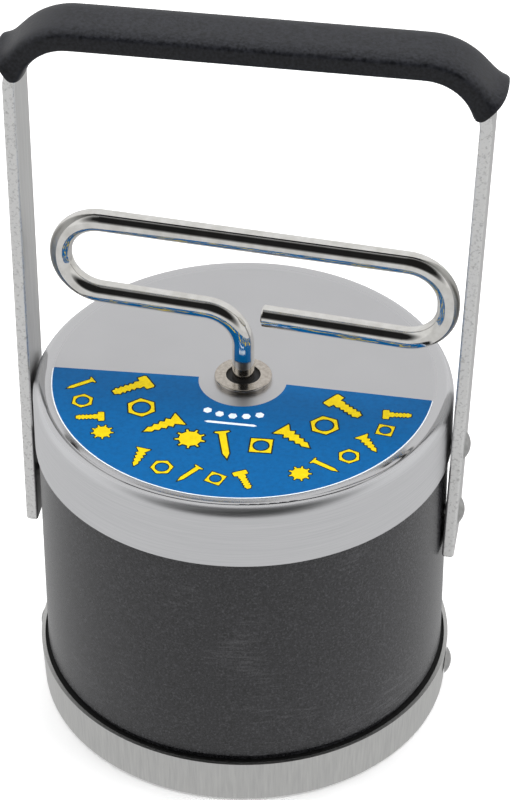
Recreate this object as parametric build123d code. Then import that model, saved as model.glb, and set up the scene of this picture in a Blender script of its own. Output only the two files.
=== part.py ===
"""Hand-held magnetic pick-up: a round canister on a bail handle, with a magnet that lifts to let go.

Millimetres. The origin is the middle of the pan's underside, +Z runs up the canister's axis, and the
bail stands in the XZ plane. The canister's pieces are fixed to each other. The magnet carrier slides
up inside the tube, and the wire release handle turns on the carrier's backing plate.
"""
from math import cos, radians, sin, sqrt, tan
import os

from build123d import *

# ---- canister -------------------------------------------------------------------------------------
BODY_HEIGHT = 108.2        # pan underside to the top of the cap
CAP_RADIUS = 60.3          # 4-3/4 in across
CAP_WALL = 0.8
CAP_SKIRT = 19.6
CAP_CORNER = 3.6           # outer radius where the top turns into the skirt
TUBE_CLEARANCE = 0.1       # between the tube and the inside of the cap's skirt
TUBE_WALL = 2.2
TUBE_STEP = 1.2            # the tube is this much smaller in radius where the pan takes it
STEP_ABOVE_PAN = 1.6       # dark groove between the step and the pan's rim
PAN_HEIGHT = 14.9
PAN_WALL = 1.1
PAN_FLARE = 0.7            # how much wider the pan is at its rim than at its floor
PAN_CORNER = 1.6
PAN_STAND_OUT = 1.0        # inside of the pan's rim beyond the tube's outside
GASKET_BELOW_RIM = 0.8     # the gasket stops this far below the pan's rim

# ---- bail and its grip ------------------------------------------------------------------------------
BAR_WIDTH = 15.9           # 5/8 in flat bar
BAR_THICKNESS = 3.5
BAR_EDGE = 0.7
BAR_END_EDGE = 1.1
BAIL_RISE = 113.3          # top of the bar above the cap
BAIL_INSIDE_BEND = 15.0
LEG_BELOW_RIVET = {-1: 13.8, 1: 12.0}   # lower ends below the lower rivets, left and right
LEG_LEAN = {-1: 0.0, 1: 2.0}   # degrees each leg leans outwards, left and right
SKIRT_GAP = 0.35           # leg to cap skirt
FOOT_GAP = 0.15            # foot of a leg to the tube
SLEEVE_WALL = 1.8          # over the bar's broad faces
SLEEVE_SIDE = 1.05         # over the bar's narrow faces
SLEEVE_ROUNDING = 3.2
SLEEVE_FIT = 0.05
SLEEVE_TURN = 76.0         # degrees of each bend that the sleeve covers
FLARE_TURN = 18.0          # the last part of that, where its end opens out
FLARE_WIDTH = 20.5
FLARE_THICKNESS = 9.3
FLARE_SHIFT = 1.1          # the open end stands away from the outside of the bend
FLARE_ROUNDING = 4.5
FLARE_SLANT = 12.0         # degrees, the lip is cut back towards the outside of the bend

# ---- rivets -----------------------------------------------------------------------------------------
RIVET_SHANK = 2.0          # 5/32 in rivets
RIVET_HEAD = 4.0
RIVET_HEAD_HEIGHT = 1.6
RIVET_TAIL = 2.9
RIVET_TAIL_HEIGHT = 1.2
BURR_RADIUS = 3.9          # washer under each rivet's tail
BURR_THICKNESS = 1.0
SKIRT_RIVET_ABOVE_EDGE = 3.2   # upper bail rivet above the skirt's lower edge
BAIL_RIVET_SPACING = 24.1
PAN_RIVET_BELOW_RIM = 5.7

# ---- bushing in the cap -----------------------------------------------------------------------------
BUSHING_FLANGE = 8.25
BUSHING_FLANGE_HEIGHT = 1.5
BUSHING_BORE = 4.9
BUSHING_SHANK = 5.95
BUSHING_SHANK_BELOW = 5.8  # below the underside of the cap
BUSHING_EDGE = 0.5
BUSHING_NUT_FLATS = 17.5
BUSHING_NUT_HEIGHT = 4.0
BUSHING_WASHER = 9.2
BUSHING_WASHER_THICKNESS = 1.0
GUIDE_RECESS = 1.0         # top of the rod guide below the top of the bushing
GUIDE_BELOW = 1.0          # the guide's lower end below the bushing's
RUNNING_FIT = 0.08         # radial, between the rod and what it runs in

# ---- release rod and its hardware -------------------------------------------------------------------
ROD_RADIUS = 3.175         # 1/4 in wire
ROD_BEND = 11.0            # centreline radius of the bend above the cap
ROD_END_CHAMFER = 0.4
LOOP_LOW = 22.9            # centrelines above the cap
LOOP_HIGH = 48.5
LOOP_LEFT_INSET = 7.7      # centreline of each end, in from the side of the cap
LOOP_RIGHT_INSET = 2.0
LOOP_RIGHT_DROP = 1.5      # the right end of the loop hangs this much lower than the left
LOOP_FREE_END = 5.6
LOOP_END_FLAT = 0.3        # straight left between the two bends of each end
LOOP_TURN = -3.5           # degrees, the loop stands a little across the bail
THRUST_GAP = 0.3
THRUST_WASHER_RADIUS = 7.9
THRUST_WASHER_THICKNESS = 1.6
COLLAR_RADIUS = 7.0
COLLAR_HEIGHT = 7.2
COLLAR_EDGE = 0.4
SET_SCREW_RADIUS = 1.6
SET_SCREW_RECESS = 0.3
BUMPER_RADIUS = 8.0
BUMPER_HEIGHT = 9.6
BUMPER_EDGE = 0.8
END_NUT_FLATS = 11.1
END_NUT_HEIGHT = 5.6
ROD_PAST_NUT = 1.4

# ---- magnet carrier ---------------------------------------------------------------------------------
REST_GAP = 0.4             # magnets above the pan's floor, and bumper short of its stop when lifted
MAGNET_BORE = 28.0
MAGNET_THICKNESS = 15.0
MAGNET_EDGE = 0.8
POLE_RADIUS = 24.0
POLE_BORE = 10.0
BACKING_THICKNESS = 5.0
BAND_CLEARANCE = 0.4       # guide band to the tube
BAND_FIT = 0.1             # guide band to the magnets
BAND_WALL = 7.7
BAND_FOOT = 1.5            # the band starts this far above the magnets' underside
RIVET_CLEARANCE = 0.7      # around the rivet tails that the carrier slides past
POLE_SCREW_COUNT = 3
POLE_SCREW_CIRCLE = 17.0
POLE_SCREW_RADIUS = 2.5
POLE_SCREW_HEAD = 4.6
POLE_SCREW_HEAD_HEIGHT = 3.0
POLE_SCREW_DEPTH = 12.0    # of thread in the pole
POLE_SCREW_DRIVE = 2.0     # hexagon socket in each head, half across flats

# ---- label ------------------------------------------------------------------------------------------
LABEL_INSET = 5.4          # in from the side of the cap
LABEL_THICKNESS = 0.15
LABEL_CHORD = 1.0          # middle of the cut edge in front of the axis
LABEL_EDGE_DROP = 2.0      # degrees, each half of the cut edge falls towards the front
LABEL_NOTCH = 12.65        # around the bushing, centred on the middle of the cut edge
LABEL_CORNER = 0.8
LABEL_TURN = 0.7           # degrees, as stuck on

# ---- worked out from the above ----------------------------------------------------------------------
CAP_UNDERSIDE = BODY_HEIGHT - CAP_WALL
SKIRT_EDGE = BODY_HEIGHT - CAP_SKIRT
TUBE_RADIUS = CAP_RADIUS - CAP_WALL - TUBE_CLEARANCE
TUBE_BORE = TUBE_RADIUS - TUBE_WALL
TUBE_FOOT_RADIUS = TUBE_RADIUS - TUBE_STEP
PAN_RIM = TUBE_RADIUS + PAN_STAND_OUT + PAN_WALL
PAN_BASE = PAN_RIM - PAN_FLARE
BUSHING_TOP = BODY_HEIGHT + BUSHING_FLANGE_HEIGHT
BUSHING_BOTTOM = CAP_UNDERSIDE - BUSHING_SHANK_BELOW
GUIDE_BOTTOM = BUSHING_BOTTOM - GUIDE_BELOW
BAR_TOP_CENTRE = BODY_HEIGHT + BAIL_RISE - BAR_THICKNESS / 2
BEND_RADIUS = BAIL_INSIDE_BEND + BAR_THICKNESS / 2
SLEEVE_WIDTH = BAR_WIDTH + 2 * SLEEVE_SIDE
SLEEVE_THICKNESS = BAR_THICKNESS + 2 * SLEEVE_WALL
SKIRT_RIVET_HEIGHT = SKIRT_EDGE + SKIRT_RIVET_ABOVE_EDGE
TUBE_RIVET_HEIGHT = SKIRT_RIVET_HEIGHT - BAIL_RIVET_SPACING
LEG_FOOT_HEIGHT = {side: TUBE_RIVET_HEIGHT - below for side, below in LEG_BELOW_RIVET.items()}
PAN_RIVET_HEIGHT = PAN_HEIGHT - PAN_RIVET_BELOW_RIM
BURR_SAG = TUBE_BORE - sqrt(TUBE_BORE**2 - BURR_RADIUS**2)
BURR_STAND_OFF = BURR_SAG + BURR_RADIUS * tan(radians(max(LEG_LEAN.values())))
RIVET_REACH = BURR_STAND_OFF + BURR_THICKNESS + RIVET_TAIL_HEIGHT
CARRIER_RADIUS = TUBE_BORE - RIVET_REACH - RIVET_CLEARANCE
MAGNET_RADIUS = TUBE_BORE - BAND_CLEARANCE - BAND_WALL - BAND_FIT
MAGNET_FOOT = PAN_WALL + REST_GAP
BACKING_UNDERSIDE = MAGNET_FOOT + 2 * MAGNET_THICKNESS
BACKING_TOP = BACKING_UNDERSIDE + BACKING_THICKNESS
COLLAR_FOOT = BACKING_TOP + THRUST_GAP + THRUST_WASHER_THICKNESS
COLLAR_TOP = COLLAR_FOOT + COLLAR_HEIGHT
BUMPER_TOP = COLLAR_TOP + BUMPER_HEIGHT
LABEL_RADIUS = CAP_RADIUS - LABEL_INSET
LOOP_LEFT = CAP_RADIUS - LOOP_LEFT_INSET
LOOP_RIGHT = CAP_RADIUS - LOOP_RIGHT_INSET
END_NUT_TOP = BACKING_UNDERSIDE - THRUST_GAP - THRUST_WASHER_THICKNESS
ROD_FOOT = END_NUT_TOP - END_NUT_HEIGHT - ROD_PAST_NUT

STANDING = (Align.CENTER, Align.CENTER, Align.MIN)
SIDES = (-1, 1)


# ---- shapes used by several pieces ------------------------------------------------------------------
def turned(points, rounded=()):
    """Solid turned about Z from (radius, height) points, with some of its corners rounded."""
    outline = make_face(Polyline(*points, close=True))
    for corner, radius in rounded:
        outline = fillet(outline.vertices().sort_by_distance((*corner, 0))[0], radius)
    return revolve(Plane.XZ * outline, Axis.Z)


def ring(outside, bore, low, high):
    """Plain ring about Z between two heights."""
    disc = Cylinder(outside, high - low, align=STANDING)
    return Pos(0, 0, low) * (disc - Cylinder(bore, high - low, align=STANDING))


def hexagon_nut(flats, bore, low, high):
    """Hexagon nut about Z between two heights."""
    blank = extrude(RegularPolygon(flats / 2, 6, major_radius=False), high - low)
    return Pos(0, 0, low) * (blank - Cylinder(bore, high - low, align=STANDING))


def leg_inside(side, height):
    """Distance from the axis to the inner face of a leg, clear of the skirt above and the tube below."""
    slope = tan(radians(LEG_LEAN[side]))
    past_skirt = CAP_RADIUS + SKIRT_GAP + (height - SKIRT_EDGE) * slope
    past_tube = TUBE_RADIUS + FOOT_GAP + (height - LEG_FOOT_HEIGHT[side]) * slope
    return max(past_skirt, past_tube)


def leg_middle(side, height):
    """Point on the centreline of a leg."""
    half = BAR_THICKNESS / 2 / cos(radians(LEG_LEAN[side]))
    return (side * (leg_inside(side, height) + half), 0, height)


def leg_face(side, height):
    """Plane on the outer face of a leg, facing outwards."""
    lean = radians(LEG_LEAN[side])
    outside = leg_inside(side, height) + BAR_THICKNESS / cos(lean)
    outwards = (side * cos(lean), 0, -sin(lean))
    return Plane(origin=(side * outside, 0, height), x_dir=(0, 1, 0), z_dir=outwards)


def pan_inside(height):
    """Inner radius of the pan's wall at a height."""
    return PAN_BASE - PAN_WALL + PAN_FLARE * (height - PAN_WALL) / (PAN_HEIGHT - PAN_WALL)


def pan_face(side, height):
    """Plane that touches the outside of the pan's wall."""
    return Plane(origin=(side * PAN_RIM, 0, height), x_dir=(0, 1, 0), z_dir=(side, 0, 0))


def bail_rivet_faces():
    """Where the four bail rivets' heads sit."""
    return [leg_face(side, height) for side in SIDES for height in (SKIRT_RIVET_HEIGHT, TUBE_RIVET_HEIGHT)]


def pan_rivet_faces():
    """Where the two pan rivets' heads sit."""
    return [pan_face(side, PAN_RIVET_HEIGHT) for side in SIDES]


def rivet_grip(face):
    """Length of a rivet's shank, from under its head to the inner side of its burr."""
    return abs(face.origin.X) - TUBE_BORE + BURR_STAND_OFF + BURR_THICKNESS


def rivet_shank(face):
    """The shank alone, which also cuts the holes that it fills."""
    grip = rivet_grip(face)
    return face * Pos(0, 0, -grip) * Cylinder(RIVET_SHANK, grip, align=STANDING)


def rivet(face):
    """Domed head, shank and peened tail."""
    dome = (RIVET_HEAD**2 + RIVET_HEAD_HEIGHT**2) / (2 * RIVET_HEAD_HEIGHT)
    ball = Pos(0, 0, RIVET_HEAD_HEIGHT - dome) * Sphere(dome)
    head = ball & Cylinder(dome, dome, align=STANDING)
    tail = Cylinder(RIVET_TAIL, RIVET_TAIL_HEIGHT, align=(Align.CENTER, Align.CENTER, Align.MAX))
    tail = fillet(tail.edges().sort_by(Axis.Z)[0], RIVET_TAIL_HEIGHT / 2)
    return face * head + rivet_shank(face) + face * Pos(0, 0, -rivet_grip(face)) * tail


def burr(face):
    """Washer under a rivet's tail."""
    washer = Cylinder(BURR_RADIUS, BURR_THICKNESS, align=STANDING)
    return face * Pos(0, 0, -rivet_grip(face)) * washer - rivet_shank(face)


def less_rivets(piece, faces):
    """A piece with the holes for its rivets."""
    for face in faces:
        piece = piece - rivet_shank(face)
    return piece


def group(pieces):
    """Separate solids that share one node."""
    return Compound(children=[solid for piece in pieces for solid in piece.solids()])


# ---- canister ---------------------------------------------------------------------------------------
def top_cap():
    inside = CAP_RADIUS - CAP_WALL
    cup = turned(
        [(BUSHING_SHANK, BODY_HEIGHT), (CAP_RADIUS, BODY_HEIGHT), (CAP_RADIUS, SKIRT_EDGE),
         (inside, SKIRT_EDGE), (inside, CAP_UNDERSIDE), (BUSHING_SHANK, CAP_UNDERSIDE)],
        rounded=[((CAP_RADIUS, BODY_HEIGHT), CAP_CORNER), ((inside, CAP_UNDERSIDE), CAP_CORNER - CAP_WALL)],
    )
    return less_rivets(cup, bail_rivet_faces())


def body_tube():
    """Tube from the pan's floor to the cap's corner, stepped in where the pan takes it."""
    step = PAN_HEIGHT + STEP_ABOVE_PAN
    top = CAP_UNDERSIDE - (CAP_CORNER - CAP_WALL)
    tube = turned([
        (TUBE_BORE, PAN_WALL), (TUBE_FOOT_RADIUS, PAN_WALL), (TUBE_FOOT_RADIUS, step),
        (TUBE_RADIUS, step), (TUBE_RADIUS, top), (TUBE_BORE, top),
    ])
    return less_rivets(tube, bail_rivet_faces() + pan_rivet_faces())


def bottom_pan():
    inner_base = (pan_inside(PAN_WALL), PAN_WALL)
    inner_rim = (pan_inside(PAN_HEIGHT), PAN_HEIGHT)
    pan = turned(
        [(0, 0), (PAN_BASE, 0), (PAN_RIM, PAN_HEIGHT), inner_rim, inner_base, (0, PAN_WALL)],
        rounded=[((PAN_BASE, 0), PAN_CORNER), (inner_base, PAN_CORNER - PAN_WALL)],
    )
    return less_rivets(pan, pan_rivet_faces())


def pan_gasket():
    foot = PAN_WALL + PAN_CORNER
    top = PAN_HEIGHT - GASKET_BELOW_RIM
    band = turned([
        (TUBE_FOOT_RADIUS, foot), (pan_inside(foot), foot), (pan_inside(top), top), (TUBE_FOOT_RADIUS, top),
    ])
    return less_rivets(band, pan_rivet_faces())


def top_label():
    reach, drop = LABEL_RADIUS, LABEL_RADIUS * tan(radians(LABEL_EDGE_DROP))
    front = Polygon((0, 0), (-reach, -drop), (-reach, -reach), (reach, -reach), (reach, -drop), align=None)
    disc = Circle(LABEL_RADIUS) & Pos(0, -LABEL_CHORD) * front
    ends = disc.vertices().sort_by(Axis.X)
    disc = fillet([ends[0], ends[-1]], LABEL_CORNER) - Pos(0, -LABEL_CHORD) * Circle(LABEL_NOTCH)
    return Pos(0, 0, BODY_HEIGHT) * Rot(0, 0, LABEL_TURN) * extrude(disc, LABEL_THICKNESS)


# ---- bail -------------------------------------------------------------------------------------------
def bail_corner(side):
    """Where the centrelines of a leg and of the top bar would meet."""
    return leg_middle(side, BAR_TOP_CENTRE)


def bar_section(at, along, width, thickness, rounding):
    """Flat-bar section at a point of the bail's centreline, its width across the bail."""
    return Plane(origin=at, x_dir=(0, 1, 0), z_dir=along) * RectangleRounded(width, thickness, rounding)


def bail_path():
    """Centreline of the bar from the left foot to the right foot."""
    feet = [leg_middle(side, LEG_FOOT_HEIGHT[side]) for side in SIDES]
    return FilletPolyline(feet[0], bail_corner(-1), bail_corner(1), feet[1], radius=BEND_RADIUS)


def bail_handle():
    path = bail_path()
    bar = sweep(bar_section(path @ 0, path % 0, BAR_WIDTH, BAR_THICKNESS, BAR_EDGE), path=path)
    ends = bar.faces().filter_by(GeomType.PLANE).sort_by(Axis.Z)[:2]
    bar = fillet([edge for end in ends for edge in end.edges().filter_by(Axis.Y)], BAR_END_EDGE)
    return less_rivets(bar, bail_rivet_faces())


def bend_centre(side):
    """Centre of a bend of the bail, in the XZ plane."""
    turn = radians(90 - LEG_LEAN[side])
    return (side * (abs(bail_corner(side)[0]) - BEND_RADIUS * tan(turn / 2)), BAR_TOP_CENTRE - BEND_RADIUS)


def on_bend(side, turn, beyond=0.0):
    """Point on a bend's centreline and the direction of the bar there, a turn in degrees past the top."""
    x, z = bend_centre(side)
    angle = radians(turn)
    radius = BEND_RADIUS + beyond
    at = (x + side * radius * sin(angle), 0, z + radius * cos(angle))
    return at, (side * cos(angle), 0, -sin(angle))


def sleeve_end(side):
    """Open end of the grip sleeve, from where it starts to stand off to its lip."""
    sections = []
    for share in (0.0, 0.5, 1.0):
        opened = share**2
        width = SLEEVE_WIDTH + (FLARE_WIDTH - SLEEVE_WIDTH) * opened
        thickness = SLEEVE_THICKNESS + (FLARE_THICKNESS - SLEEVE_THICKNESS) * opened
        rounding = SLEEVE_ROUNDING + (FLARE_ROUNDING - SLEEVE_ROUNDING) * opened
        turn = SLEEVE_TURN - FLARE_TURN * (1 - share)
        at = on_bend(side, turn, FLARE_SHIFT * opened)[0]
        along = on_bend(side, turn - FLARE_SLANT * opened)[1]
        sections.append(bar_section(at, along, width, thickness, rounding))
    return loft(sections)


def grip_sleeve():
    turn = SLEEVE_TURN - FLARE_TURN
    left, right = bend_centre(-1), bend_centre(1)
    path = Plane.XZ * (
        CenterArc(left, BEND_RADIUS, 90 + turn, -turn)
        + Line((left[0], BAR_TOP_CENTRE), (right[0], BAR_TOP_CENTRE))
        + CenterArc(right, BEND_RADIUS, 90, -turn)
    )
    at, along = on_bend(-1, turn)
    backwards = tuple(-part for part in along)
    section = bar_section(at, backwards, SLEEVE_WIDTH, SLEEVE_THICKNESS, SLEEVE_ROUNDING)
    sleeve = sweep(section, path=path.wire()) + sleeve_end(-1) + sleeve_end(1)
    bail = bail_path()
    hollow_width = BAR_WIDTH + 2 * SLEEVE_FIT
    hollow_thickness = BAR_THICKNESS + 2 * SLEEVE_FIT
    hollow = bar_section(bail @ 0, bail % 0, hollow_width, hollow_thickness, BAR_EDGE + SLEEVE_FIT)
    return sleeve - sweep(hollow, path=bail)


# ---- bushing in the cap -----------------------------------------------------------------------------
def cap_bushing():
    flange_corner = (BUSHING_FLANGE, BUSHING_TOP)
    bore_corner = (BUSHING_BORE, BUSHING_TOP)
    return turned(
        [(BUSHING_BORE, BUSHING_BOTTOM), (BUSHING_SHANK, BUSHING_BOTTOM), (BUSHING_SHANK, BODY_HEIGHT),
         (BUSHING_FLANGE, BODY_HEIGHT), flange_corner, bore_corner],
        rounded=[(flange_corner, BUSHING_EDGE), (bore_corner, BUSHING_EDGE / 2)],
    )


def rod_guide():
    return ring(BUSHING_BORE, ROD_RADIUS + RUNNING_FIT, GUIDE_BOTTOM, BUSHING_TOP - GUIDE_RECESS)


def bushing_washer():
    return ring(BUSHING_WASHER, BUSHING_SHANK, CAP_UNDERSIDE - BUSHING_WASHER_THICKNESS, CAP_UNDERSIDE)


def bushing_nut():
    top = CAP_UNDERSIDE - BUSHING_WASHER_THICKNESS
    return hexagon_nut(BUSHING_NUT_FLATS, BUSHING_SHANK, top - BUSHING_NUT_HEIGHT, top)


# ---- magnet carrier ---------------------------------------------------------------------------------
def screw_places():
    return PolarLocations(POLE_SCREW_CIRCLE, POLE_SCREW_COUNT)


def screw_shanks():
    """The screws' shanks, which also cut their holes in the plate and the pole."""
    length = BACKING_THICKNESS + POLE_SCREW_DEPTH
    shank = Pos(0, 0, BACKING_TOP - length) * Cylinder(POLE_SCREW_RADIUS, length, align=STANDING)
    return [place * shank for place in screw_places()]


def pole_screws():
    head = Cylinder(POLE_SCREW_HEAD, POLE_SCREW_HEAD_HEIGHT, align=STANDING)
    socket = extrude(RegularPolygon(POLE_SCREW_DRIVE, 6, major_radius=False), POLE_SCREW_HEAD_HEIGHT)
    head = Pos(0, 0, BACKING_TOP) * (head - Pos(0, 0, POLE_SCREW_HEAD_HEIGHT / 2) * socket)
    return group(place * head + shank for place, shank in zip(screw_places(), screw_shanks()))


def backing_plate():
    plate = ring(CARRIER_RADIUS, ROD_RADIUS + RUNNING_FIT, BACKING_UNDERSIDE, BACKING_TOP)
    return plate - screw_shanks()


def magnet(place):
    """One of the two ring magnets, counted from the bottom."""
    low = MAGNET_FOOT + place * MAGNET_THICKNESS
    block = ring(MAGNET_RADIUS, MAGNET_BORE, low, low + MAGNET_THICKNESS)
    return chamfer(block.edges().filter_by(GeomType.CIRCLE).sort_by(SortBy.RADIUS)[-2:], MAGNET_EDGE)


def centre_pole():
    return ring(POLE_RADIUS, POLE_BORE, MAGNET_FOOT, BACKING_UNDERSIDE) - screw_shanks()


def guide_band():
    """Band around the magnets, with a slot on each side that the rivet tails pass through."""
    outside = TUBE_BORE - BAND_CLEARANCE
    band = ring(outside, MAGNET_RADIUS + BAND_FIT, MAGNET_FOOT + BAND_FOOT, BACKING_UNDERSIDE)
    slot_width = 2 * (BURR_RADIUS + RIVET_CLEARANCE)
    slot = Box(TUBE_BORE, slot_width, BODY_HEIGHT, align=(Align.MIN, Align.CENTER, Align.MIN))
    for turn in (0, 180):
        band = band - Rot(0, 0, turn) * Pos(CARRIER_RADIUS, 0, 0) * slot
    return band


# ---- release handle ---------------------------------------------------------------------------------
def loop_end_radius(gap):
    """Bend radius that turns the wire back on itself over a gap."""
    return (gap - LOOP_END_FLAT) / 2


def release_rod():
    low, high = BODY_HEIGHT + LOOP_LOW, BODY_HEIGHT + LOOP_HIGH
    low_right, high_right = low - LOOP_RIGHT_DROP, high - LOOP_RIGHT_DROP
    end_radius = loop_end_radius(high - low - LOOP_RIGHT_DROP)
    path = FilletPolyline(
        (0, 0, ROD_FOOT),
        (0, 0, low),
        (-LOOP_LEFT, 0, low + LOOP_RIGHT_DROP),
        (-LOOP_LEFT, 0, high),
        (LOOP_RIGHT, 0, high_right),
        (LOOP_RIGHT, 0, low_right),
        (LOOP_FREE_END, 0, low),
        radius=[ROD_BEND, end_radius, end_radius, end_radius, end_radius],
    )
    wire = sweep(Plane(origin=path @ 0, z_dir=path % 0) * Circle(ROD_RADIUS), path=path)
    ends = wire.faces().filter_by(GeomType.PLANE)
    wire = chamfer([edge for end in ends for edge in end.edges()], ROD_END_CHAMFER)
    return Rot(0, 0, LOOP_TURN) * wire


def set_screw(inner, outer):
    """Radial cylinder at the middle of the collar, between two distances from the axis."""
    screw = Cylinder(SET_SCREW_RADIUS, outer - inner, rotation=(0, 90, 0), align=STANDING)
    return Rot(0, 0, LOOP_TURN) * Pos(inner, 0, COLLAR_FOOT + COLLAR_HEIGHT / 2) * screw


def rod_collar():
    collar = ring(COLLAR_RADIUS, ROD_RADIUS, COLLAR_FOOT, COLLAR_TOP)
    rims = collar.edges().filter_by(GeomType.CIRCLE).sort_by(SortBy.RADIUS)[-2:]
    return chamfer(rims, COLLAR_EDGE) - set_screw(0, 2 * COLLAR_RADIUS)


def collar_set_screw():
    return set_screw(ROD_RADIUS, COLLAR_RADIUS - SET_SCREW_RECESS)


def lift_bumper():
    bumper = ring(BUMPER_RADIUS, ROD_RADIUS, COLLAR_TOP, BUMPER_TOP)
    rims = bumper.edges().filter_by(GeomType.CIRCLE).sort_by(SortBy.RADIUS)[-2:]
    return fillet(rims, BUMPER_EDGE)


def thrust_washer(low):
    return ring(THRUST_WASHER_RADIUS, ROD_RADIUS, low, low + THRUST_WASHER_THICKNESS)


def rod_end_nut():
    return hexagon_nut(END_NUT_FLATS, ROD_RADIUS, END_NUT_TOP - END_NUT_HEIGHT, END_NUT_TOP)


NODES = {
    "top_cap": top_cap(),
    "body_tube": body_tube(),
    "bottom_pan": bottom_pan(),
    "pan_gasket": pan_gasket(),
    "top_label": top_label(),
    "bail_handle": bail_handle(),
    "grip_sleeve": grip_sleeve(),
    "bail_rivets": group(rivet(face) for face in bail_rivet_faces()),
    "bail_rivet_burrs": group(burr(face) for face in bail_rivet_faces()),
    "pan_rivets": group(rivet(face) for face in pan_rivet_faces()),
    "pan_rivet_burrs": group(burr(face) for face in pan_rivet_faces()),
    "cap_bushing": cap_bushing(),
    "rod_guide": rod_guide(),
    "bushing_washer": bushing_washer(),
    "bushing_nut": bushing_nut(),
    "backing_plate": backing_plate(),
    "lower_magnet": magnet(0),
    "upper_magnet": magnet(1),
    "centre_pole": centre_pole(),
    "pole_screws": pole_screws(),
    "guide_band": guide_band(),
    "release_rod": release_rod(),
    "rod_collar": rod_collar(),
    "collar_set_screw": collar_set_screw(),
    "lift_bumper": lift_bumper(),
    "upper_thrust_washer": thrust_washer(BACKING_TOP + THRUST_GAP),
    "lower_thrust_washer": thrust_washer(END_NUT_TOP),
    "rod_end_nut": rod_end_nut(),
}

os.makedirs("parts", exist_ok=True)
for name, piece in NODES.items():
    export_step(piece, f"parts/{name}.step")
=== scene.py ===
from math import cos, pi, radians, sin

import bmesh
import bpy
from mathutils import Matrix, Vector


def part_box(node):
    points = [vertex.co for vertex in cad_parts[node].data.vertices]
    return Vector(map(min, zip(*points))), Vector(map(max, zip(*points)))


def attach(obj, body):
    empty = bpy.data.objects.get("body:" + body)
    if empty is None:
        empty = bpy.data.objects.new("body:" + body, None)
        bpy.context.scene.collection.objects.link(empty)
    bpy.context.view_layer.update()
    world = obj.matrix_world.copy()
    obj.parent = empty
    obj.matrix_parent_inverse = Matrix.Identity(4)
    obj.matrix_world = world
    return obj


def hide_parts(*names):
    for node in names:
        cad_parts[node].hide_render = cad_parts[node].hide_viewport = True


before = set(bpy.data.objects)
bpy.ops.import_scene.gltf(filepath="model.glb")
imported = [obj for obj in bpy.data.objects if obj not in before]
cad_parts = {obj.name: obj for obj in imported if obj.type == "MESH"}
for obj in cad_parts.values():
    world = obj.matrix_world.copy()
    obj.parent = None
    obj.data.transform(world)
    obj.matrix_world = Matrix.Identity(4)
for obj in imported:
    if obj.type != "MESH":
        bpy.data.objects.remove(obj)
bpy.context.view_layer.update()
MM = 0.001


# ---- where the CAD pieces are -------------------------------------------------------------------
CAP_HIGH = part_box("top_cap")[1]
BAIL_LOW, BAIL_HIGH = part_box("bail_handle")
LABEL_LOW, LABEL_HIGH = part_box("top_label")
CAP_TOP = CAP_HIGH.z
CAP_RADIUS = CAP_HIGH.x
LABEL_RADIUS = -LABEL_LOW.y          # its round edge reaches furthest at the front


# ---- materials ----------------------------------------------------------------------------------
NOISE_LOW, NOISE_HIGH = 0.3, 0.7     # most values of a noise texture lie between these
FROM_NOISE = {"From Min": NOISE_LOW, "From Max": NOISE_HIGH}
# Belt lines, pebble, grit and print mottle are often finer than 0.3 mm on the real thing, too fine to
# show in the render, so here they are drawn 0.3 to 2 mm across.


def linear(code):
    """Linear RGBA of an sRGB hex colour."""
    parts = [int(code[i:i + 2], 16) / 255 for i in (1, 3, 5)]
    return (*[c / 12.92 if c <= 0.04045 else ((c + 0.055) / 1.055) ** 2.4 for c in parts], 1.0)


def add(tree, kind, inputs=None, stops=None, **settings):
    """A node with its settings, its input values or links, and its ramp stops."""
    node = tree.nodes.new("ShaderNode" + kind)
    for key, value in settings.items():
        setattr(node, key, value)
    for key, value in (inputs or {}).items():
        if isinstance(value, bpy.types.NodeSocket):
            tree.links.new(value, node.inputs[key])
        else:
            node.inputs[key].default_value = value
    if stops:
        ramp = node.color_ramp.elements
        while len(ramp) < len(stops):
            ramp.new(0.5)
        for element, (place, colour) in zip(ramp, stops):
            element.position = place
            element.color = colour
    return node


def grey(value):
    return (value, value, value, 1.0)


def start(name, **sockets):
    """A new material with its principled shader; returns the material, its tree, shader and place."""
    made = bpy.data.materials.new(name)
    made.use_nodes = True
    tree = made.node_tree
    tree.nodes.clear()
    shader = add(tree, "BsdfPrincipled", {key.replace("_", " "): value for key, value in sockets.items()})
    add(tree, "OutputMaterial", {"Surface": shader.outputs["BSDF"]})
    place = add(tree, "TexCoord").outputs["Object"]
    return made, tree, shader, place


def plain_grain(tree, shader, place, tones, per_mm, rough, bump=0.0, stretch=(1, 1, 1)):
    """Colour, roughness and relief from one grain, with that many grains to the millimetre."""
    turned = add(tree, "Mapping", {"Vector": place, "Scale": stretch})
    grain = add(tree, "TexNoise", {"Vector": turned.outputs[0], "Scale": per_mm / MM, "Detail": 3.0})
    colour = add(tree, "ValToRGB", {"Fac": grain.outputs["Fac"]},
                 stops=[(NOISE_LOW, tones[0]), (NOISE_HIGH, tones[1])])
    tree.links.new(colour.outputs["Color"], shader.inputs["Base Color"])
    dull = add(tree, "MapRange", {"Value": grain.outputs["Fac"], **FROM_NOISE,
                                  "To Min": rough[0], "To Max": rough[1]})
    tree.links.new(dull.outputs["Result"], shader.inputs["Roughness"])
    if bump:
        relief = add(tree, "Bump", {"Height": grain.outputs["Fac"], "Strength": 1.0, "Distance": bump})
        tree.links.new(relief.outputs["Normal"], shader.inputs["Normal"])


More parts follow.
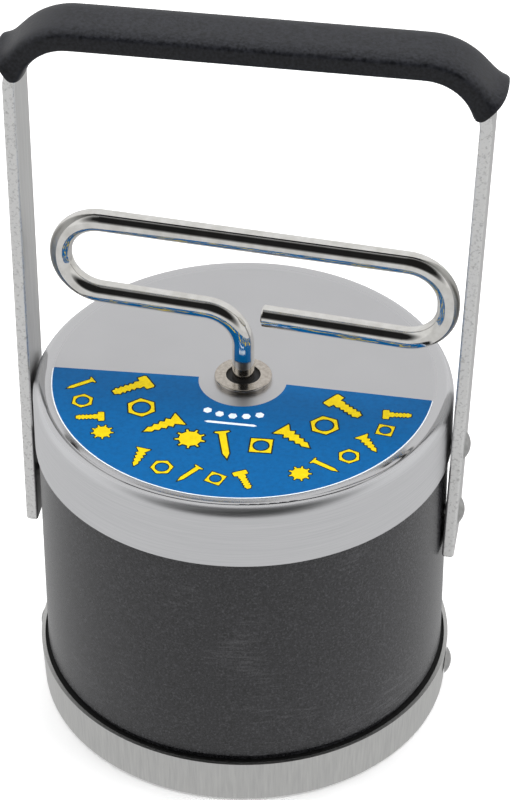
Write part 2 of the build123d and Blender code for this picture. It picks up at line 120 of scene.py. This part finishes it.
def stainless_cap():
    """Pressed stainless sheet: a satin top that blurs the room, a bright shoulder and a belted skirt."""
    made, tree, shader, place = start("pressed_stainless_steel", Metallic=1.0)
    height = add(tree, "SeparateXYZ", {"Vector": place}).outputs["Z"]
    # belt lines run round the skirt, 0.3 mm apart and about 20 mm long
    round_it = add(tree, "Mapping", {"Vector": place, "Scale": (1, 1, 70)})
    lines = add(tree, "TexNoise", {"Vector": round_it.outputs[0], "Scale": 0.045 / MM, "Detail": 4.0,
                                   "Roughness": 0.6})
    # the flat top is even but for clouds about 17 mm across
    cloud = add(tree, "TexNoise", {"Vector": place, "Scale": 0.06 / MM, "Detail": 2.0})
    skirt = add(tree, "MapRange", {"Value": height, "From Min": CAP_TOP - 0.1 * MM,
                                   "From Max": CAP_TOP - 0.8 * MM})
    skirt_rough = add(tree, "MapRange", {"Value": lines.outputs["Fac"], **FROM_NOISE,
                                         "To Min": 0.32, "To Max": 0.44})
    top_rough = add(tree, "MapRange", {"Value": cloud.outputs["Fac"], **FROM_NOISE,
                                       "To Min": 0.34, "To Max": 0.42})
    # pressing has burnished the shoulder, from about the label's round edge outwards
    flat = add(tree, "Mapping", {"Vector": place, "Scale": (1, 1, 0)})
    out = add(tree, "VectorMath", {0: flat.outputs[0]}, operation="LENGTH")
    shoulder = add(tree, "MapRange", {"Value": out.outputs["Value"], "From Min": CAP_RADIUS - 6.0 * MM,
                                      "From Max": CAP_RADIUS - 4.0 * MM})
    burnished = 0.08
    disc = add(tree, "Mix", {0: shoulder.outputs["Result"], 2: top_rough.outputs["Result"], 3: burnished})
    rough = add(tree, "Mix", {0: skirt.outputs["Result"], 2: disc.outputs[0],
                              3: skirt_rough.outputs["Result"]})
    tree.links.new(rough.outputs[0], shader.inputs["Roughness"])
    tone = add(tree, "ValToRGB", {"Fac": lines.outputs["Fac"]},
               stops=[(0.25, linear("#d6d7d9")), (0.75, linear("#e8e8ea"))])
    both = add(tree, "Mix", {0: skirt.outputs["Result"], 6: linear("#cfcfd1"), 7: tone.outputs["Color"]},
               data_type="RGBA")
    tree.links.new(both.outputs[2], shader.inputs["Base Color"])
    depth = add(tree, "Math", {0: lines.outputs["Fac"], 1: skirt.outputs["Result"]}, operation="MULTIPLY")
    relief = add(tree, "Bump", {"Height": depth.outputs[0], "Strength": 0.5, "Distance": 0.02 * MM})
    tree.links.new(relief.outputs["Normal"], shader.inputs["Normal"])
    return made


def charcoal_tube():
    """Extruded charcoal PVC tube: semi-gloss with a fine speckle, and pale rub marks in patches."""
    made, tree, shader, place = start("extruded_pvc", IOR=1.53)
    # speckle about 0.6 mm across
    speckle = add(tree, "TexNoise", {"Vector": place, "Scale": 1.7 / MM, "Detail": 2.0, "Roughness": 0.8})
    tone = add(tree, "ValToRGB", {"Fac": speckle.outputs["Fac"]},
               stops=[(0.34, linear("#19191b")), (0.54, linear("#313134")), (0.74, linear("#5c5c60"))])
    # rub marks: strokes 6 mm long and 0.7 mm thick, 9 degrees off level, in patches of 40 mm
    level = add(tree, "Mapping", {"Vector": place, "Scale": (1, 1, 9), "Rotation": (0.0, 0.16, 0.0)})
    strokes = add(tree, "TexNoise", {"Vector": level.outputs[0], "Scale": 0.16 / MM, "Detail": 3.0,
                                     "Roughness": 0.6})
    patch = add(tree, "TexNoise", {"Vector": place, "Scale": 0.026 / MM, "Detail": 2.0})
    worn = add(tree, "Math", {0: strokes.outputs["Fac"], 1: patch.outputs["Fac"]}, operation="MULTIPLY")
    rubbed = add(tree, "MapRange", {"Value": worn.outputs[0], "From Min": 0.325, "From Max": 0.43,
                                    "To Min": 0.0, "To Max": 0.26})
    both = add(tree, "Mix", {0: rubbed.outputs["Result"], 6: tone.outputs["Color"], 7: linear("#77777a")},
               data_type="RGBA")
    tree.links.new(both.outputs[2], shader.inputs["Base Color"])
    dull = add(tree, "MapRange", {"Value": speckle.outputs["Fac"], **FROM_NOISE,
                                  "To Min": 0.24, "To Max": 0.34})
    tree.links.new(dull.outputs["Result"], shader.inputs["Roughness"])
    relief = add(tree, "Bump", {"Height": speckle.outputs["Fac"], "Strength": 0.6, "Distance": 0.02 * MM})
    tree.links.new(relief.outputs["Normal"], shader.inputs["Normal"])
    return made


def drawn_pan():
    """Drawn aluminium: satin, with faint upright die marks 0.7 mm apart."""
    made, tree, shader, place = start("drawn_aluminium", Metallic=1.0)
    plain_grain(tree, shader, place, (linear("#c6c6c5"), linear("#d8d8d6")), 1.5,
                rough=(0.38, 0.48), bump=0.006 * MM, stretch=(1, 1, 0.05))
    return made


def bail_bar():
    """Mill-finish aluminium bar: rolled broad faces, paler sheared narrow faces with small pits."""
    made, tree, shader, place = start("mill_finish_aluminium", Metallic=1.0)
    across = add(tree, "SeparateXYZ", {"Vector": place}).outputs["Y"]
    away = add(tree, "Math", {0: across}, operation="ABSOLUTE").outputs[0]
    # the narrow faces are the last fraction of a millimetre across the bar
    narrow = add(tree, "MapRange", {"Value": away, "From Min": BAIL_HIGH.y - 0.8 * MM,
                                    "From Max": BAIL_HIGH.y - 0.3 * MM})
    # pits and spots about 1 mm apart
    pits = add(tree, "TexVoronoi", {"Vector": place, "Scale": 0.9 / MM})
    spots = add(tree, "TexNoise", {"Vector": place, "Scale": 1.1 / MM, "Detail": 3.0, "Roughness": 0.7})
    dark = add(tree, "MapRange", {"Value": spots.outputs["Fac"], "From Min": 0.52, "From Max": 0.68})
    pitted = add(tree, "Math", {0: dark.outputs["Result"], 1: narrow.outputs["Result"]}, operation="MULTIPLY")
    # rolling lines 1 mm apart and 20 mm long
    rolled = add(tree, "Mapping", {"Vector": place, "Scale": (1, 1, 0.05)})
    lines = add(tree, "TexNoise", {"Vector": rolled.outputs[0], "Scale": 0.9 / MM, "Detail": 2.0})
    tone = add(tree, "ValToRGB", {"Fac": lines.outputs["Fac"]},
               stops=[(NOISE_LOW, linear("#c4c4c3")), (NOISE_HIGH, linear("#d2d2d1"))])
    cut = add(tree, "Mix", {0: narrow.outputs["Result"], 6: tone.outputs["Color"], 7: linear("#f0f0ef")},
              data_type="RGBA")
    both = add(tree, "Mix", {0: pitted.outputs[0], 6: cut.outputs[2], 7: linear("#cccccb")}, data_type="RGBA")
    tree.links.new(both.outputs[2], shader.inputs["Base Color"])
    rough = add(tree, "Mix", {0: narrow.outputs["Result"], 2: 0.38, 3: 0.44})
    tree.links.new(rough.outputs[0], shader.inputs["Roughness"])
    depth = add(tree, "Math", {0: pits.outputs["Distance"], 1: narrow.outputs["Result"]},
                operation="MULTIPLY")
    relief = add(tree, "Bump", {"Height": depth.outputs[0], "Strength": 0.5, "Distance": 0.05 * MM})
    tree.links.new(relief.outputs["Normal"], shader.inputs["Normal"])
    return made


def vinyl_grip():
    """Dip-moulded black vinyl: fine pebble, a soft grey sheen where it faces the light."""
    made, tree, shader, place = start("dip_moulded_vinyl", IOR=1.48, Specular_IOR_Level=0.30)
    plain_grain(tree, shader, place, (linear("#0f1013"), linear("#26272c")), 1.1,
                rough=(0.34, 0.46), bump=0.03 * MM)
    return made


def bright_nickel():
    """Bright nickel plate on drawn wire: a mirror, dulled a little here and there."""
    made, tree, shader, place = start("bright_nickel_plate", Metallic=1.0)
    plain_grain(tree, shader, place, (linear("#dcdad5"), linear("#efeeeb")), 0.26, rough=(0.05, 0.10))
    return made


def warm_nickel():
    """Nickel-plated brass, turned: bright, with a faint warm cast and a fine mottle."""
    made, tree, shader, place = start("nickel_plated_brass", Metallic=1.0)
    plain_grain(tree, shader, place, (linear("#b8b0a6"), linear("#cfc8bf")), 0.9,
                rough=(0.13, 0.22), bump=0.008 * MM)
    return made


def rivet_aluminium():
    """Headed aluminium wire: satin, slightly mottled."""
    made, tree, shader, place = start("headed_aluminium", Metallic=1.0)
    plain_grain(tree, shader, place, (linear("#a0a09f"), linear("#bfbfbe")), 0.7,
                rough=(0.32, 0.46), bump=0.02 * MM)
    return made


def label_vinyl():
    """Printed vinyl label: flat blue under a clear film, with a hairline of white at its round edge."""
    made, tree, shader, place = start("printed_vinyl", IOR=1.46, Specular_IOR_Level=0.12)
    cloud = add(tree, "TexNoise", {"Vector": place, "Scale": 0.9 / MM, "Detail": 2.0})
    blue = add(tree, "ValToRGB", {"Fac": cloud.outputs["Fac"]},
               stops=[(NOISE_LOW, linear("#00548c")), (NOISE_HIGH, linear("#005c99"))])
    flat = add(tree, "Mapping", {"Vector": place, "Scale": (1, 1, 0)})
    out = add(tree, "VectorMath", {0: flat.outputs[0]}, operation="LENGTH")
    edge = add(tree, "MapRange", {"Value": out.outputs["Value"], "From Min": LABEL_RADIUS - 0.34 * MM,
                                  "From Max": LABEL_RADIUS - 0.26 * MM})
    both = add(tree, "Mix", {0: edge.outputs["Result"], 6: blue.outputs["Color"], 7: linear("#eef3f7")},
               data_type="RGBA")
    tree.links.new(both.outputs[2], shader.inputs["Base Color"])
    dull = add(tree, "MapRange", {"Value": cloud.outputs["Fac"], "To Min": 0.34, "To Max": 0.44})
    tree.links.new(dull.outputs["Result"], shader.inputs["Roughness"])
    return made


def ink(name, low, high):
    """Screen ink on the label: an even film with a slight mottle."""
    made, tree, shader, place = start(name, IOR=1.46, Specular_IOR_Level=0.12)
    plain_grain(tree, shader, place, (linear(low), linear(high)), 0.9, rough=(0.34, 0.46))
    return made


def dull_black(name, low, high, rough, per_mm):
    """Black rubber or nylon: matt, with a fine moulded grain."""
    made, tree, shader, place = start(name, IOR=1.5)
    plain_grain(tree, shader, place, (linear(low), linear(high)), per_mm, rough=rough, bump=0.02 * MM)
    return made


def plain_steel(name, low, high, rough, per_mm):
    """Steel hardware and plate: plated, ground or rolled, told apart by tone and dullness."""
    made, tree, shader, place = start(name, Metallic=1.0)
    plain_grain(tree, shader, place, (linear(low), linear(high)), per_mm, rough=rough, bump=0.01 * MM)
    return made


def ground_ferrite():
    """Ground ferrite: dark grey ceramic, matt with paler specks 0.7 mm across."""
    made, tree, shader, place = start("ground_ferrite", IOR=2.2)
    plain_grain(tree, shader, place, (linear("#2a2a2c"), linear("#47474a")), 1.5, rough=(0.5, 0.65),
                bump=0.01 * MM)
    return made


FINISHES = {
    stainless_cap(): ["top_cap"],
    charcoal_tube(): ["body_tube"],
    drawn_pan(): ["bottom_pan"],
    bail_bar(): ["bail_handle"],
    bright_nickel(): ["release_rod"],
    warm_nickel(): ["cap_bushing"],
    rivet_aluminium(): ["bail_rivets", "bail_rivet_burrs", "pan_rivets", "pan_rivet_burrs"],
    label_vinyl(): ["top_label"],
    # the pan gasket is a guessed rubber seal, and its black is also painted shade: it darkens the gap between
    # the tube and the pan's rim, where shade falls
    dull_black("moulded_rubber_and_painted_gap_shade", "#0d0d0d", "#181818", (0.65, 0.8), 0.9): ["pan_gasket", "lift_bumper"],
    dull_black("moulded_nylon", "#101011", "#1c1c1d", (0.45, 0.6), 1.2): ["rod_guide", "guide_band"],
    plain_steel("zinc_plated_steel", "#b4b8bc", "#d3d6d8", (0.28, 0.40), 0.8): [
        "bushing_washer", "bushing_nut", "pole_screws", "rod_collar", "upper_thrust_washer",
        "lower_thrust_washer", "rod_end_nut"],
    plain_steel("rolled_steel_plate", "#77787a", "#939496", (0.40, 0.55), 0.5): [
        "backing_plate", "centre_pole"],
    plain_steel("black_oxide_steel", "#1d1d1f", "#2d2d30", (0.40, 0.50), 0.9): ["collar_set_screw"],
    ground_ferrite(): ["lower_magnet", "upper_magnet"],
}
for finish, names in FINISHES.items():
    for name in names:
        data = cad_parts[name].data
        data.materials.clear()
        data.materials.append(finish)
VINYL = vinyl_grip()
YELLOW = ink("yellow_screen_ink", "#dabd00", "#e5ca0c")
DARK = ink("dark_screen_ink", "#14211d", "#1d2c27")
PALE = ink("pale_screen_ink", "#d4e4f2", "#f1f6fa")


# ---- pieces made here -----------------------------------------------------------------------------
def finished(name, mesh, materials, body):
    """The object of a finished mesh, riding on its body."""
    data = bpy.data.meshes.new(name)
    mesh.to_mesh(data)
    mesh.free()
    for material in materials:
        data.materials.append(material)
    piece = bpy.data.objects.new(name, data)
    bpy.context.scene.collection.objects.link(piece)
    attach(piece, body)
    return piece


# ---- grip sleeve ------------------------------------------------------------------------------------
BAR_HALF = 1.75 * MM                 # half the bail bar's thickness
BEND = 15.0 * MM + BAR_HALF          # centreline radius of the bail's bends
BAR_HEIGHT = BAIL_HIGH.z - BAR_HALF
LIP_TURN = 77.0                      # where the sleeve ends, in degrees past the top
FLARE_FROM = 34.0                    # where it begins to open, in degrees past the top
LIP_LEAN = {-1: 0.85, 1: 0.60}       # how far each outer lip is cut back up the bar


def bend_x(side):
    """Where a bend of the bail is centred."""
    return BAIL_LOW.x + BEND + BAR_HALF if side < 0 else BAIL_HIGH.x - BEND - BAR_HALF


def set_section(verts, middle, out, along, sizes):
    """Puts a ring on an outline round a point: half width, outer and inner half, squareness, lean."""
    half, outer, inner, square, lean = sizes
    for i, vert in enumerate(verts):
        angle = 2 * pi * i / len(verts)
        c, s = cos(angle), sin(angle)
        y = half * (1 if c > 0 else -1) * abs(c) ** (2 / square)
        r = (outer if s > 0 else inner) * (1 if s > 0 else -1) * abs(s) ** (2 / square)
        vert.co = middle + out * r + Vector((0, y, 0)) - along * max(r, 0) * lean


def sleeve_station(side, turn):
    """Middle, outward direction and direction of the bar at a turn of a bend, in degrees past the top."""
    angle = radians(turn)
    out = Vector((side * sin(angle), 0, cos(angle)))
    along = Vector((side * cos(angle), 0, -sin(angle)))
    middle = Vector((bend_x(side), 0, BAR_HEIGHT - BEND)) + out * BEND
    return middle, out, along


def next_ring(mesh, ring, edges):
    """Extrudes a ring of edges; the new corners keep the order of the ring that they came from."""
    made = bmesh.ops.extrude_edge_only(mesh, edges=edges)["geom"]
    fresh = [part for part in made if isinstance(part, bmesh.types.BMVert)]
    partner = {}
    for vert in fresh:
        for edge in vert.link_edges:
            other = edge.other_vert(vert)
            if other in ring:
                partner[other] = vert
    new_edges = [part for part in made if isinstance(part, bmesh.types.BMEdge)
                 and all(v in made for v in part.verts)]
    return [partner[vert] for vert in ring], new_edges


def grip_sleeve():
    """Soft sleeve pushed on the bar: flat along the top, its cut ends open into lens-shaped lips."""
    mesh = bmesh.new()
    body = (8.98 * MM, 3.53 * MM, 3.53 * MM, 4.2, 0.0)
    lips = {-1: (10.2 * MM, 6.4 * MM, 3.6 * MM, 2.8, 0.0), 1: (10.2 * MM, 7.0 * MM, 3.6 * MM, 2.8, 0.0)}
    steps = 12
    stations = [(-1, LIP_TURN * (1 - step / steps)) for step in range(steps + 1)]
    stations += [(0, step / steps) for step in range(1, steps)]
    stations += [(1, LIP_TURN * step / steps) for step in range(steps + 1)]
    ring = bmesh.ops.create_circle(mesh, segments=32, radius=1.0)["verts"]
    first = list(ring)
    edges = list(mesh.edges)
    for number, (side, turn) in enumerate(stations):
        if number:
            ring, edges = next_ring(mesh, ring, edges)
        if side:
            middle, out, along = sleeve_station(side, turn)
            opened = max(0.0, (turn - FLARE_FROM) / (LIP_TURN - FLARE_FROM))
            sizes = [a + (b - a) * opened ** 4 for a, b in zip(body, lips[side])]
            sizes[4] = LIP_LEAN[side] * opened ** 2
        else:
            x = bend_x(-1) + (bend_x(1) - bend_x(-1)) * turn
            middle, out, along = Vector((x, 0, BAR_HEIGHT)), Vector((0, 0, 1)), Vector((1, 0, 0))
            sizes = body
        set_section(ring, middle, out, along, sizes)
    # each end turns in over its lip and runs back to close on the bar
    first_edges = [edge for edge in mesh.edges
                   if edge.is_boundary and all(v in first for v in edge.verts)]
    for side, verts, rim in ((-1, first, first_edges), (1, ring, edges)):
        for turn, sizes in (
                (LIP_TURN - 0.2, (9.4 * MM, lips[side][1] - 0.8 * MM, 2.8 * MM, 2.8, LIP_LEAN[side])),
                (LIP_TURN - 9.0, (8.4 * MM, 2.9 * MM, 2.3 * MM, 3.2, 0.4)),
                (LIP_TURN - 20.0, (8.0 * MM, 1.8 * MM, 1.8 * MM, 6.0, 0.0))):
            verts, rim = next_ring(mesh, verts, rim)
            middle, out, along = sleeve_station(side, turn)
            set_section(verts, middle, out, along, sizes)
    bmesh.ops.recalc_face_normals(mesh, faces=mesh.faces)
    for face in mesh.faces:
        face.smooth = True
    piece = finished("vinyl_grip_sleeve", mesh, [VINYL], "canister")
    smooth = piece.modifiers.new("rounded", "SUBSURF")
    smooth.levels = 1
    smooth.render_levels = 1
    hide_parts("grip_sleeve")


# ---- label print: small pictures of hardware -----------------------------------------------------
INK_THICKNESS = 0.03 * MM
INK_GAP = 0.005 * MM                 # keeps the ink's underside off the label's face


def polygon(mesh, corners, size):
    """One flat face through corners given as shares of a size in millimetres."""
    return mesh.faces.new([mesh.verts.new((x * size * MM, y * size * MM, 0)) for x, y in corners])


def ring_picture(mesh, sides, outside, hole):
    """A nut seen from above, with its size and hole as radii in millimetres."""
    outer = bmesh.ops.create_circle(mesh, segments=sides, radius=outside * MM)["verts"]
    inner = bmesh.ops.create_circle(mesh, segments=24, radius=hole * MM)["verts"]
    rims = {edge for vert in outer + inner for edge in vert.link_edges}
    bmesh.ops.bridge_loops(mesh, edges=list(rims))


def both_sides(right):
    """A closed outline from its right half, listed from the top down."""
    return right + [(-x, y) for x, y in reversed(right) if x]


def nail(mesh, size):
    polygon(mesh, both_sides([(0.16, 0.5), (0.19, 0.43), (0.10, 0.38), (0.095, -0.26), (0, -0.5)]), size)


def bolt(mesh, size):
    """Hexagon head from the side, with a threaded shank."""
    right = [(0.22, 0.5), (0.27, 0.45), (0.27, 0.24), (0.15, 0.22)]
    for i in range(5):
        right += [(0.17, 0.13 - i * 0.12), (0.12, 0.07 - i * 0.12)]
    polygon(mesh, both_sides(right + [(0.09, -0.5)]), size)


def screw(mesh, size):
    """Countersunk head over a coarse thread that tapers to a point."""
    right = [(0.26, 0.5), (0.25, 0.43), (0.13, 0.28)]
    for i in range(4):
        right += [(0.21 - 0.028 * i, 0.20 - i * 0.16), (0.12 - 0.014 * i, 0.12 - i * 0.16)]
    polygon(mesh, both_sides(right + [(0, -0.5)]), size)


def nut(mesh, size):
    ring_picture(mesh, 6, size * 0.5, size * 0.25)


def gear(mesh, size):
    """Toothed disc."""
    corners = []
    for i in range(9):
        for step, reach in ((-12, 0.38), (-7, 0.5), (7, 0.5), (12, 0.38)):
            angle = radians(i * 40 + step)
            corners.append((reach * sin(angle), reach * cos(angle)))
    polygon(mesh, corners, size)


def solid_hexagon(mesh, size):
    polygon(mesh, [(0.5 * cos(radians(a)), 0.5 * sin(radians(a))) for a in range(0, 360, 60)], size)


def long_bar(mesh, size):
    """Thin rule with pointed ends."""
    polygon(mesh, [(-0.5, 0), (-0.44, 0.03), (0.44, 0.03), (0.5, 0), (0.44, -0.03), (-0.44, -0.03)], size)


def square_nut(mesh, size):
    ring_picture(mesh, 4, size * 0.58, size * 0.24)


def printed(mesh, draw, size, radius, bearing, tilt=0.0, outline=0.0):
    """Draws one picture and moves it to its place on the label, with a dark outline inside its edge when an
    outline width is given.
    """
    before = set(mesh.verts)
    old_faces = set(mesh.faces)
    draw(mesh, size)
    faces = [face for face in mesh.faces if face not in old_faces]
    for face in faces:
        face.normal_update()
        if face.normal.z < 0:
            face.normal_flip()
    if outline:
        band = bmesh.ops.inset_region(mesh, faces=faces, thickness=outline * MM, use_even_offset=True,
                                      use_boundary=True)["faces"]
        for face in band:
            face.material_index = 1
    verts = [vert for vert in mesh.verts if vert not in before]
    place = (Matrix.Rotation(radians(bearing), 4, "Z")
             @ Matrix.Translation((0, -radius * MM, 0)) @ Matrix.Rotation(radians(tilt), 4, "Z"))
    bmesh.ops.transform(mesh, matrix=place, verts=verts)


def label_print():
    """Two rows of hardware round the label, and pale hexagons over a thin rule by the notch."""
    mesh = bmesh.new()
    inner = ((bolt, 12.5, 20), (nut, 9.4, 8), (screw, 13.0, -15), (gear, 9.4, 0), (nail, 14.0, 16),
             (square_nut, 8.4, 30), (screw, 13.0, 15), (nut, 9.4, 20), (bolt, 12.5, -20))
    outer = ((nail, 9.6, 25), (nut, 7.0, 10), (bolt, 8.6, -20), (gear, 7.0, 0), None,
             (screw, 9.2, 20), (nut, 7.0, 0), (nail, 9.6, -25), (square_nut, 6.2, 25), (bolt, 8.6, 20), None,
             (gear, 7.0, 8), (nail, 9.6, 25), (nut, 7.0, 20), (screw, 9.2, -20), (square_nut, 6.2, 60),
             (bolt, 8.6, 18))
    # each row's radius in millimetres, reach to either side of the front in degrees, outline in millimetres
    for row, radius, reach, outline in ((inner, 32.0, 73, 0.42), (outer, 46.8, 77, 0.30)):
        for i, picture in enumerate(row):
            if picture:
                draw, size, tilt = picture
                bearing = -reach + i * 2 * reach / (len(row) - 1)
                printed(mesh, draw, size, radius, bearing, tilt, outline)
    lift_print(mesh)
    finished("label_pictures", mesh, [YELLOW, DARK], "canister")
    mesh = bmesh.new()
    for bearing in (-24, -12, 0, 12, 24):
        printed(mesh, solid_hexagon, 2.6, 18.3, bearing)
    printed(mesh, long_bar, 15.0, 21.8, 0)
    lift_print(mesh)
    finished("label_small_pictures", mesh, [PALE], "canister")


def lift_print(mesh):
    """Turns the flat pictures into a film of ink on top of the label."""
    made = bmesh.ops.extrude_face_region(mesh, geom=list(mesh.faces))["geom"]
    top = [part for part in made if isinstance(part, bmesh.types.BMVert)]
    bmesh.ops.translate(mesh, verts=top, vec=(0, 0, INK_THICKNESS))
    bmesh.ops.translate(mesh, verts=mesh.verts, vec=(0, 0, LABEL_HIGH.z + INK_GAP))
    bmesh.ops.recalc_face_normals(mesh, faces=mesh.faces)


grip_sleeve()
label_print()


# ---- floor, light and camera -------------------------------------------------------------------
def studio():
    """A white floor, a pale room that is dark towards the front, and three soft lamps."""
    floor_data = bpy.data.meshes.new("floor")
    mesh = bmesh.new()
    bmesh.ops.create_grid(mesh, x_segments=1, y_segments=1, size=3.0)
    mesh.to_mesh(floor_data)
    mesh.free()
    floor = bpy.data.objects.new("floor", floor_data)
    bpy.context.scene.collection.objects.link(floor)
    paint, tree, shader, place = start("white_paper", Roughness=0.9, Emission_Color=grey(1.0),
                                       Emission_Strength=0.22)
    cloud = add(tree, "TexNoise", {"Vector": place, "Scale": 3.0})
    tone = add(tree, "ValToRGB", {"Fac": cloud.outputs["Fac"]},
               stops=[(NOISE_LOW, grey(0.86)), (NOISE_HIGH, grey(0.88))])
    tree.links.new(tone.outputs["Color"], shader.inputs["Base Color"])
    floor_data.materials.append(paint)
    floor.visible_glossy = False
    floor.visible_diffuse = False

    world = bpy.data.worlds.new("light_tent")
    bpy.context.scene.world = world
    world.use_nodes = True
    tree = world.node_tree
    tree.nodes.clear()
    # a pale tent over a greyer table: dark within 31 degrees of a line up and to the front, pale from 53
    place = add(tree, "TexCoord").outputs["Generated"]
    front = Vector((0.12, -0.74, 0.66)).normalized()
    facing = add(tree, "VectorMath", {0: place, 1: front}, operation="DOT_PRODUCT")
    tent = add(tree, "ValToRGB", {"Fac": facing.outputs["Value"]},
               stops=[(0.60, grey(0.80)), (0.78, grey(0.18)), (0.86, grey(0.015))])
    height = add(tree, "SeparateXYZ", {"Vector": place}).outputs["Z"]
    table = add(tree, "MapRange", {"Value": height, "From Min": 0.04, "From Max": -0.10})
    room = add(tree, "Mix", {0: table.outputs["Result"], 6: tent.outputs["Color"], 7: grey(0.66)},
               data_type="RGBA")
    glow = add(tree, "Background", {"Color": room.outputs[2], "Strength": 1.0})
    add(tree, "OutputWorld", {"Surface": glow.outputs[0]})

    aim = Vector((0, 0, 0.1))
    # place and size in metres, power in watts
    for name, place, size, power in (
            ("top_softbox", (0.1, 0.3, 1.6), 2.0, 32.0),
            ("left_softbox", (-1.4, -0.3, 0.9), 1.2, 9.0),
            ("right_softbox", (1.4, -0.2, 0.9), 1.2, 10.0)):
        lamp = bpy.data.lights.new(name, "AREA")
        lamp.shape = "SQUARE"
        lamp.size = size
        lamp.energy = power
        box = bpy.data.objects.new(name, lamp)
        box.location = place
        box.rotation_euler = (aim - Vector(place)).to_track_quat("-Z", "Y").to_euler()
        box.visible_camera = False
        box.visible_glossy = False
        bpy.context.scene.collection.objects.link(box)


def camera():
    """Long lens, looking 37 degrees down and a little from the right."""
    yaw = radians(9.6)
    down, roll = 37.23, -0.3         # degrees
    back, above = 0.73405, 0.54987   # metres from the axis, and above the cap
    data = bpy.data.cameras.new("camera")
    data.sensor_width = 36.0
    data.lens = 144.39
    data.shift_x = 0.0144
    data.clip_end = 20.0
    eye = bpy.data.objects.new("camera", data)
    eye.location = (back * sin(yaw), -back * cos(yaw), CAP_TOP + above)
    turned = Matrix.Rotation(yaw, 3, "Z") @ Matrix.Rotation(radians(90 - down), 3, "X")
    eye.rotation_euler = (turned @ Matrix.Rotation(radians(roll), 3, "Z")).to_euler()
    bpy.context.scene.collection.objects.link(eye)
    bpy.context.scene.camera = eye
    bpy.context.scene.view_settings.view_transform = "Standard"


studio()
camera()
